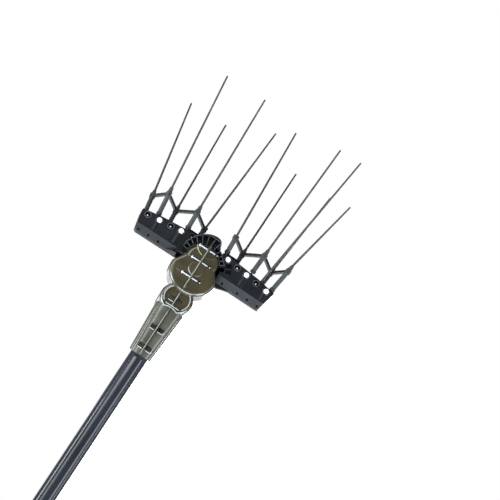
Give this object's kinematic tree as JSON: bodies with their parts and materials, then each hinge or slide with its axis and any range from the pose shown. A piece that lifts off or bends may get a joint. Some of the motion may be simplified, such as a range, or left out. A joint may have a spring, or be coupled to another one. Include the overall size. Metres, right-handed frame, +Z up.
{
  "type": "olive harvester head",
  "caption": "Handheld olive harvester head on a pole: two opposed oscillating combs of thin carbon rods driven by a round gearbox.",
  "frame": {"origin": "centre of the lower end of the pole spigot", "axes": "+Z up the pole axis towards the rod tips, +X to the right comb, -Y is the front with the screw bosses"},
  "size_m": [0.3534, 0.1881, 0.9886],
  "materials": {
    "housing_plastic": "glossy moulded glass-filled nylon, olive brown",
    "neck_plastic": "glossy moulded nylon, grey olive",
    "pole_paint": "glossy dark slate-blue coating on aluminium tube",
    "comb_plastic": "satin black moulded nylon",
    "brace_plastic": "satin black moulded plastic",
    "sleeve_rubber": "dark grey rubber",
    "ring_rubber": "black rubber",
    "carbon_rod": "pultruded carbon fibre, satin dark grey",
    "zinc_steel": "bright zinc plate",
    "black_steel": "black oxide",
    "machined_steel": "ground and turned steel",
    "aluminium": "turned aluminium",
    "brass": "turned brass and bronze",
    "iron": "laminated iron",
    "motor_paint": "black painted steel can",
    "black_plastic": "black moulded insert"
  },
  "bodies": {
    "crank": {"back_eccentric_roller": "machined_steel", "crank_gear": "machined_steel", "crank_shaft": "machined_steel", "front_eccentric_roller": "machined_steel"},
    "pole_and_housing": {"connector_contacts": "brass", "crank_bearing_back": "machined_steel", "crank_bearing_front": "machined_steel", "housing_left": "housing_plastic", "housing_nuts": "black_steel", "housing_right": "housing_plastic", "housing_screws": "zinc_steel", "motor_bearing": "machined_steel", "motor_case": "motor_paint", "motor_end_plate": "aluminium", "motor_stator": "iron", "neck_clamp_left": "neck_plastic", "neck_clamp_right": "neck_plastic", "neck_nuts": "black_steel", "neck_screws": "black_steel", "pivot_shaft": "machined_steel", "pole_connector": "black_plastic", "pole_spigot": "aluminium", "pole_tube": "pole_paint"},
    "left_comb": {"left_clamp_nuts": "black_steel", "left_clamp_screws": "zinc_steel", "left_edge_screws": "black_steel", "left_far_shell": "comb_plastic", "left_hub_bush": "brass", "left_hub_dowels": "machined_steel", "left_hub_plate": "comb_plastic", "left_near_shell": "comb_plastic", "left_rod_a": "carbon_rod", "left_rod_b": "carbon_rod", "left_rod_c": "carbon_rod", "left_rod_d": "carbon_rod", "left_rod_e": "carbon_rod", "left_rod_sleeves": "sleeve_rubber", "left_sleeve_rings": "ring_rubber", "left_zigzag_brace": "brace_plastic"},
    "motor_rotor_body": {"motor_pinion": "machined_steel", "motor_rotor": "iron", "motor_shaft": "machined_steel"},
    "right_comb": {"right_clamp_nuts": "black_steel", "right_clamp_screws": "zinc_steel", "right_edge_screws": "black_steel", "right_far_shell": "comb_plastic", "right_hub_bush": "brass", "right_hub_dowels": "machined_steel", "right_hub_plate": "comb_plastic", "right_near_shell": "comb_plastic", "right_rod_a": "carbon_rod", "right_rod_b": "carbon_rod", "right_rod_c": "carbon_rod", "right_rod_d": "carbon_rod", "right_rod_e": "carbon_rod", "right_rod_f": "carbon_rod", "right_rod_sleeves": "sleeve_rubber", "right_sleeve_rings": "ring_rubber", "right_zigzag_brace": "brace_plastic"}
  },
  "joints": [
    {"name": "left_comb_swing", "type": "hinge", "parent": "pole_and_housing", "child": "left_comb", "pos_m": [0, 0, 0.666], "axis": [0, 1, 0], "range_deg": [-5, 5]},
    {"name": "right_comb_swing", "type": "hinge", "parent": "pole_and_housing", "child": "right_comb", "pos_m": [0, 0, 0.666], "axis": [0, 1, 0], "range_deg": [-5, 5]},
    {"name": "crank_turn", "type": "hinge", "parent": "pole_and_housing", "child": "crank", "pos_m": [0, 0, 0.64], "axis": [0, 1, 0], "range_deg": [-60, 60]},
    {"name": "motor_turn", "type": "hinge", "parent": "pole_and_housing", "child": "motor_rotor_body", "pos_m": [0, 0, 0.61], "axis": [0, 1, 0], "range_deg": [-90, 90]}
  ],
  "couplings": [
    {"joint": "right_comb_swing", "follows": "left_comb_swing", "ratio": -1},
    {"joint": "crank_turn", "follows": "left_comb_swing", "ratio": -12},
    {"joint": "motor_turn", "follows": "left_comb_swing", "ratio": 18}
  ]
}
